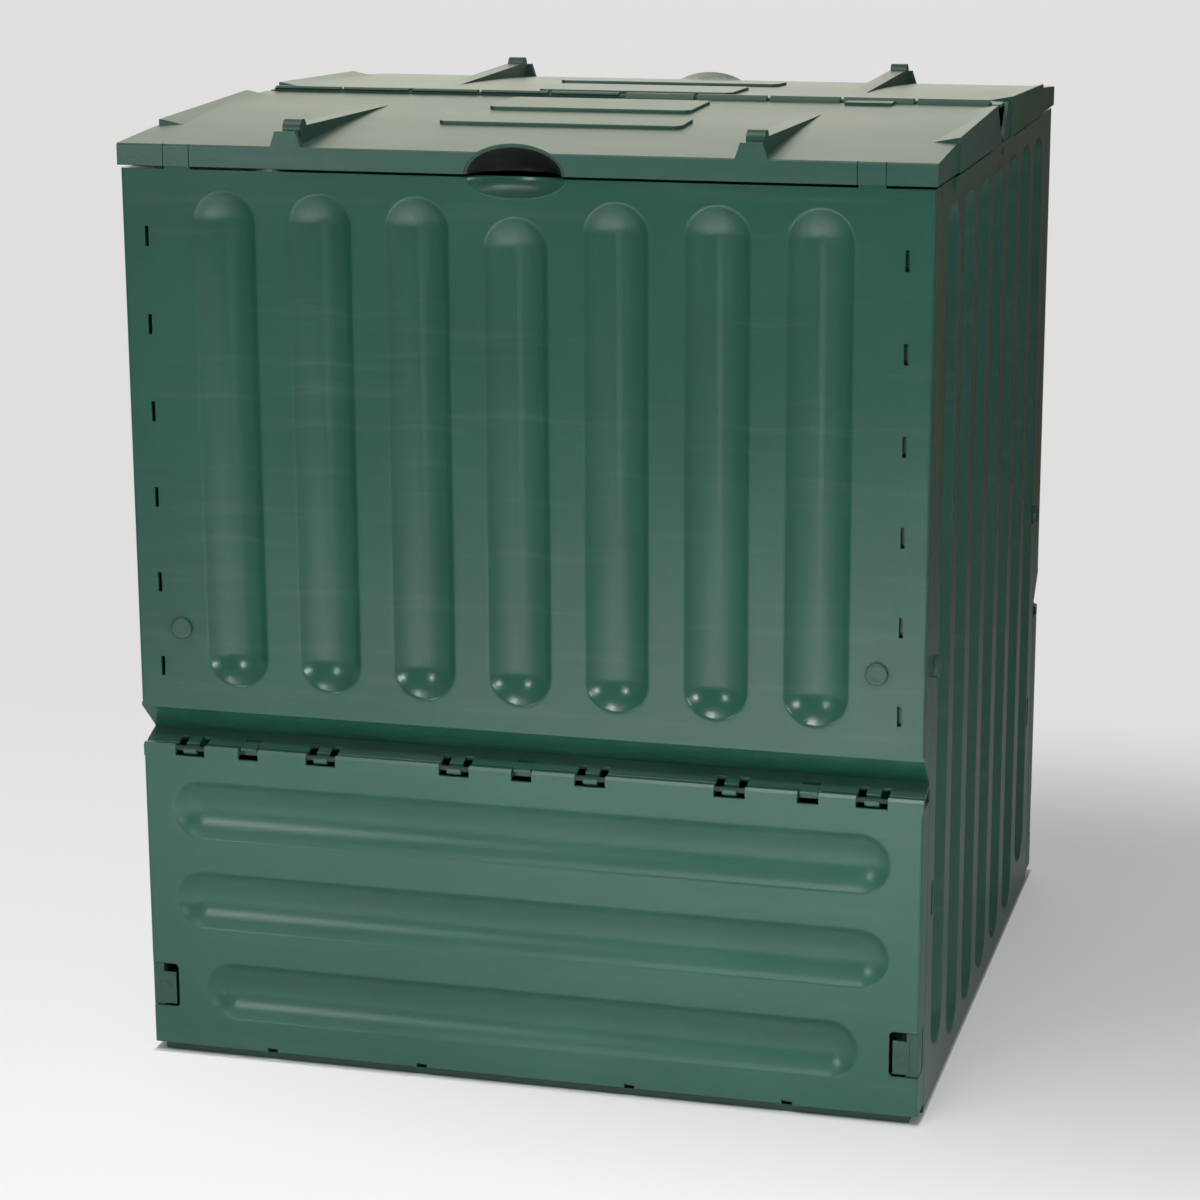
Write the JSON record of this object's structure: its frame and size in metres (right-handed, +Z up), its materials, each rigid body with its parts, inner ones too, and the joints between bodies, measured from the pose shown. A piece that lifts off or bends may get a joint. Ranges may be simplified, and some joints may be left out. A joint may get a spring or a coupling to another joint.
{
  "type": "compost bin",
  "caption": "Square fluted plastic compost bin with a split arched lid hinged on its ridge and hinged removal flaps at the foot of front and back.",
  "frame": {"origin": "centre of the footprint, on the ground", "axes": "+X to the right seen from the front, +Y to the back, +Z up"},
  "size_m": [0.809, 0.809, 0.9645],
  "materials": {
    "wall_green": "fine-grained moulded plastic",
    "lid_green": "fine-grained moulded plastic",
    "flap_green": "fine-grained moulded plastic",
    "dark_green": "fine-grained moulded plastic",
    "plug_green": "fine-grained moulded plastic"
  },
  "bodies": {
    "bin": {"front_wall": "wall_green", "rear_wall": "wall_green", "right_wall": "wall_green", "left_wall": "wall_green", "front_sill": "dark_green", "rear_sill": "dark_green", "ridge_bar": "dark_green", "front_wall_plugs": "plug_green", "rear_wall_plugs": "plug_green", "right_wall_plugs": "plug_green", "left_wall_plugs": "plug_green"},
    "front_lid": {"front_lid": "lid_green"},
    "rear_lid": {"rear_lid": "lid_green"},
    "front_flap": {"front_flap": "flap_green", "front_flap_pins": "dark_green"},
    "rear_flap": {"rear_flap": "flap_green", "rear_flap_pins": "dark_green"},
    "front_right_latch": {"front_right_latch": "dark_green"},
    "front_left_latch": {"front_left_latch": "dark_green"},
    "rear_left_latch": {"rear_left_latch": "dark_green"},
    "rear_right_latch": {"rear_right_latch": "dark_green"}
  },
  "joints": [
    {"name": "front_lid_hinge", "type": "hinge", "parent": "bin", "child": "front_lid", "pos_m": [0, 0, 0.956], "axis": [-1, 0, 0], "range_deg": [0, 80]},
    {"name": "rear_lid_hinge", "type": "hinge", "parent": "bin", "child": "rear_lid", "pos_m": [0, 0, 0.956], "axis": [1, 0, 0], "range_deg": [0, 80]},
    {"name": "front_flap_hinge", "type": "hinge", "parent": "bin", "child": "front_flap", "pos_m": [0, -0.3955, 0.329], "axis": [-1, 0, 0], "range_deg": [0, 100]},
    {"name": "rear_flap_hinge", "type": "hinge", "parent": "bin", "child": "rear_flap", "pos_m": [0, 0.3955, 0.329], "axis": [1, 0, 0], "range_deg": [0, 100]},
    {"name": "front_right_latch_press", "type": "hinge", "parent": "front_flap", "child": "front_right_latch", "pos_m": [0.39, -0.388, 0.0735], "axis": [0, 0, -1], "range_deg": [0, 7.5], "stiffness_Nm_per_rad": 1.5},
    {"name": "front_left_latch_press", "type": "hinge", "parent": "front_flap", "child": "front_left_latch", "pos_m": [-0.39, -0.388, 0.0735], "axis": [0, 0, 1], "range_deg": [0, 7.5], "stiffness_Nm_per_rad": 1.5},
    {"name": "rear_left_latch_press", "type": "hinge", "parent": "rear_flap", "child": "rear_left_latch", "pos_m": [-0.39, 0.388, 0.0735], "axis": [0, 0, -1], "range_deg": [0, 7.5], "stiffness_Nm_per_rad": 1.5},
    {"name": "rear_right_latch_press", "type": "hinge", "parent": "rear_flap", "child": "rear_right_latch", "pos_m": [0.39, 0.388, 0.0735], "axis": [0, 0, 1], "range_deg": [0, 7.5], "stiffness_Nm_per_rad": 1.5}
  ]
}
